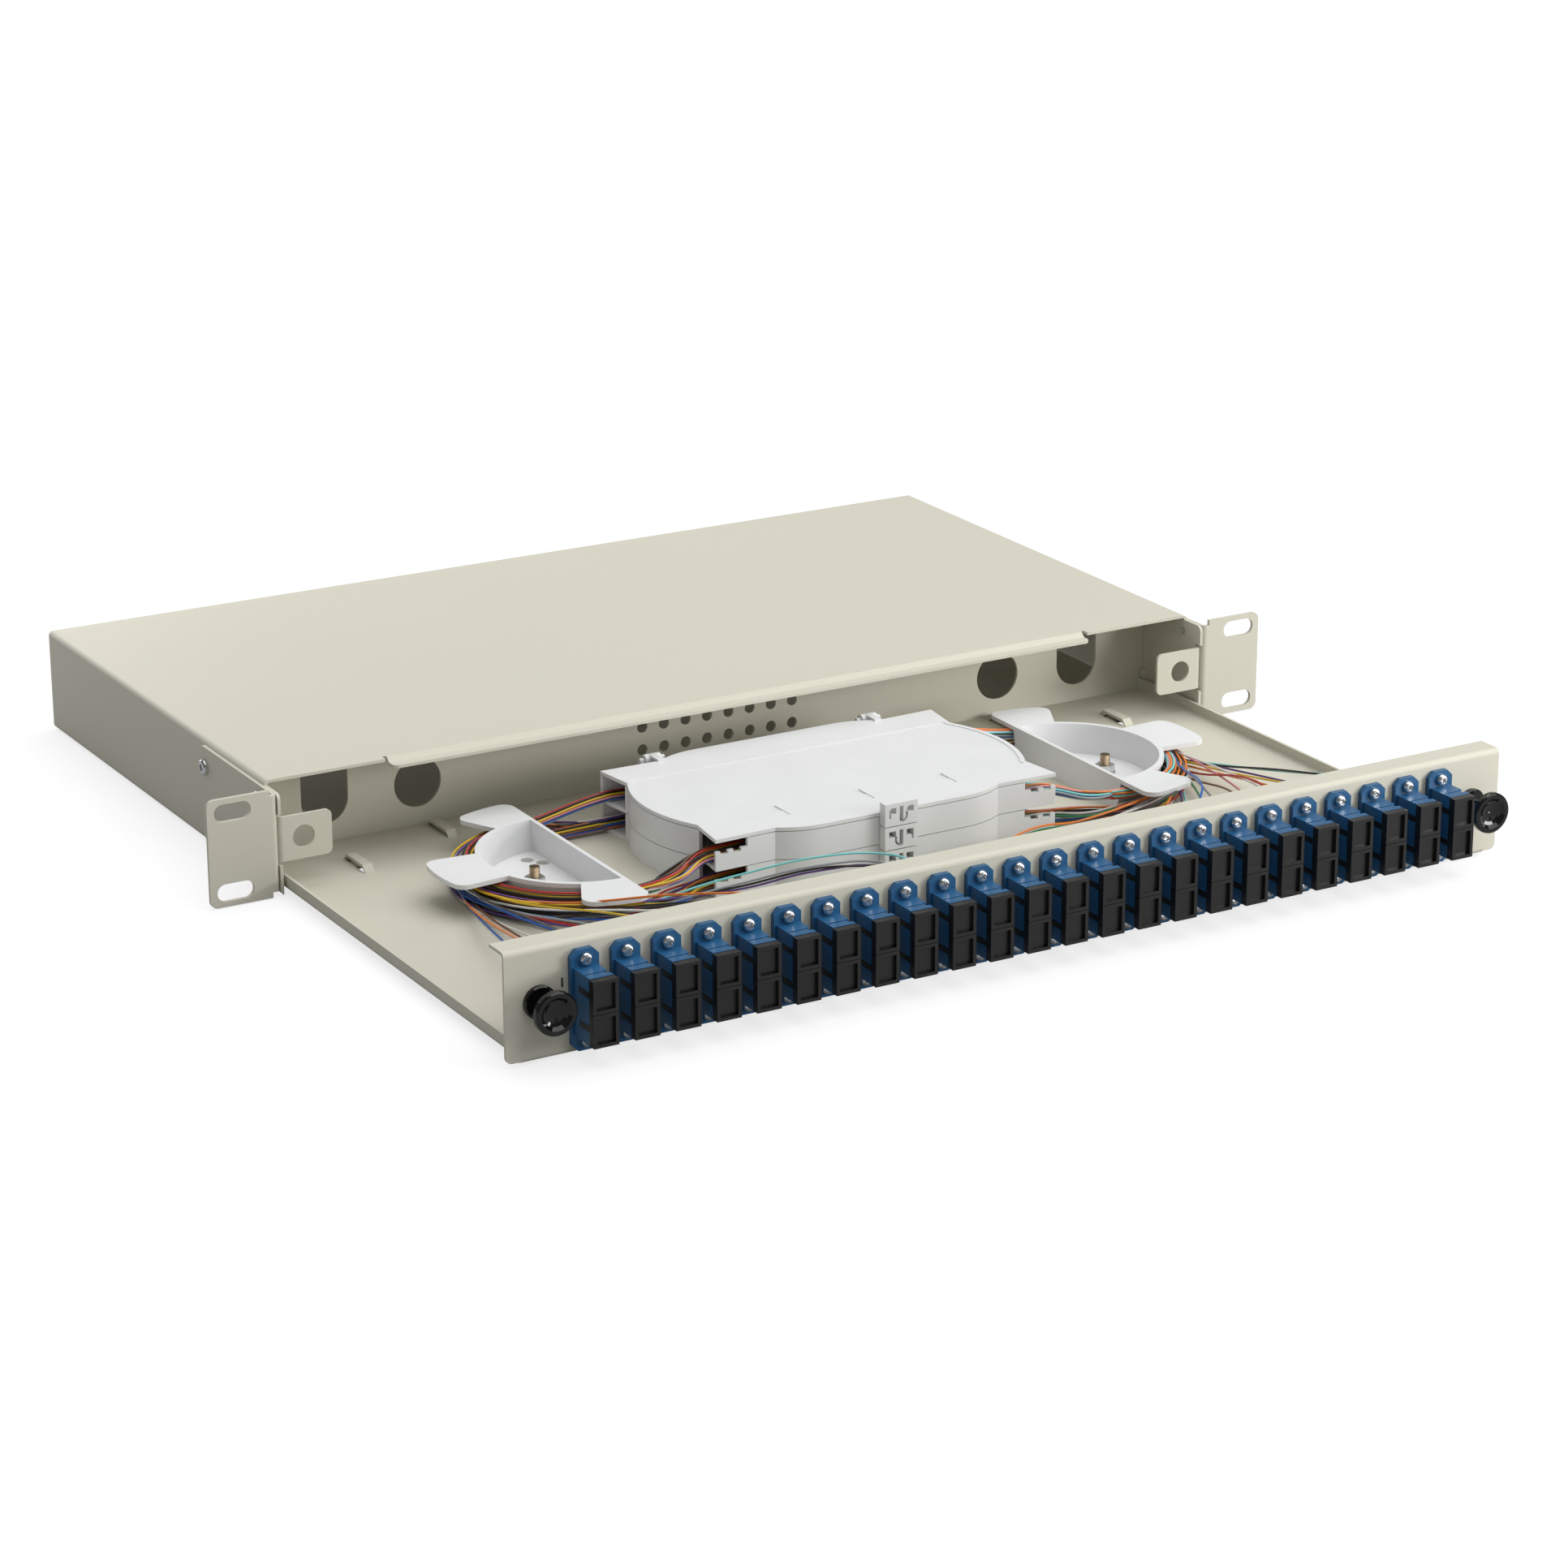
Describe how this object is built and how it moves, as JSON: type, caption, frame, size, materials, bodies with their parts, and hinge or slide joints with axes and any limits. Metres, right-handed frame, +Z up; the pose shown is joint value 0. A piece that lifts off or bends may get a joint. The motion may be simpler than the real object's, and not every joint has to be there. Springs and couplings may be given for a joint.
{
  "type": "fibre splice box",
  "caption": "Rack-mount sliding fibre splice and patch box, drawn open: sheet housing with ears, drawer with a row of duplex couplers, hinged splice trays and fibre guides",
  "frame": {"origin": "middle of the four rack slots, on the rear face of the ears that lies against the rack rails", "axes": "+X along the rack's width, to the right seen from the front; +Y from the front panel to the rear; +Z up"},
  "size_m": [0.4826, 0.447, 0.043],
  "materials": {
    "shell_coat": "fine satin powder coat",
    "ear_coat": "fine satin powder coat",
    "tray_coat": "fine satin powder coat",
    "panel_coat": "fine satin powder coat",
    "screw_steel": "bright zinc plate",
    "stud_brass": "yellow passivated",
    "adapter_blue": "moulded, semi-gloss",
    "cap_black": "moulded, satin",
    "latch_black": "moulded, satin",
    "sleeve_ceramic": "ground ceramic",
    "guide_white": "moulded, satin",
    "tray_white": "moulded, satin",
    "comb_grey": "soft moulded",
    "protector_clear": "clear shrink sleeve",
    "plug_blue": "moulded",
    "boot_white": "soft moulded",
    "fibre_sheath": "smooth sheath"
  },
  "bodies": {
    "housing": {"housing_shell": "shell_coat", "ear_left": "ear_coat", "ear_right": "ear_coat", "ear_screws": "screw_steel"},
    "drawer": {"adapter_01": "adapter_blue", "adapter_02": "adapter_blue", "adapter_03": "adapter_blue", "adapter_04": "adapter_blue", "adapter_05": "adapter_blue", "adapter_06": "adapter_blue", "adapter_07": "adapter_blue", "adapter_08": "adapter_blue", "adapter_09": "adapter_blue", "adapter_10": "adapter_blue", "adapter_11": "adapter_blue", "adapter_12": "adapter_blue", "adapter_13": "adapter_blue", "adapter_14": "adapter_blue", "adapter_15": "adapter_blue", "adapter_16": "adapter_blue", "adapter_17": "adapter_blue", "adapter_18": "adapter_blue", "adapter_19": "adapter_blue", "adapter_20": "adapter_blue", "adapter_21": "adapter_blue", "adapter_22": "adapter_blue", "adapter_23": "adapter_blue", "adapter_24": "adapter_blue", "adapter_nuts": "screw_steel", "adapter_screws": "screw_steel", "adapter_sleeves": "sleeve_ceramic", "drawer_rear_wall": "tray_coat", "drawer_tray": "tray_coat", "dust_caps_lower": "cap_black", "dust_caps_upper": "cap_black", "fibre_bundle_left": "fibre_sheath", "fibre_bundle_right": "fibre_sheath", "fibre_guide_left": "guide_white", "fibre_guide_right": "guide_white", "front_panel": "panel_coat", "guide_nuts": "screw_steel", "guide_studs": "stud_brass", "guide_washers": "screw_steel", "latch_grommet_left": "latch_black", "latch_grommet_right": "latch_black", "pigtail_plugs": "plug_blue", "plug_boots": "boot_white", "splice_comb_lower": "comb_grey", "splice_protectors_lower": "protector_clear", "splice_tray_lower": "tray_white", "tray_rivets": "screw_steel"},
    "plunger_left": {"latch_plunger_left": "latch_black"},
    "plunger_right": {"latch_plunger_right": "latch_black"},
    "upper_tray": {"splice_tray_upper": "tray_white", "splice_comb_upper": "comb_grey", "splice_protectors_upper": "protector_clear"},
    "tray_lid": {"splice_lid": "tray_white"}
  },
  "joints": [
    {"name": "drawer_slide", "type": "slide", "parent": "housing", "child": "drawer", "axis": [0, 1, 0], "range_m": [0, 0.193]},
    {"name": "latch_left", "type": "slide", "parent": "drawer", "child": "plunger_left", "axis": [0, 1, 0], "range_m": [0, 0.006]},
    {"name": "latch_right", "type": "slide", "parent": "drawer", "child": "plunger_right", "axis": [0, 1, 0], "range_m": [0, 0.006]},
    {"name": "tray_hinge", "type": "hinge", "parent": "drawer", "child": "upper_tray", "pos_m": [0, 0.0033, -0.0073], "axis": [1, 0, 0], "range_deg": [-20, 0]},
    {"name": "lid_hinge", "type": "hinge", "parent": "upper_tray", "child": "tray_lid", "pos_m": [0, 0.0033, 0.004], "axis": [1, 0, 0], "range_deg": [-55, 0]}
  ]
}
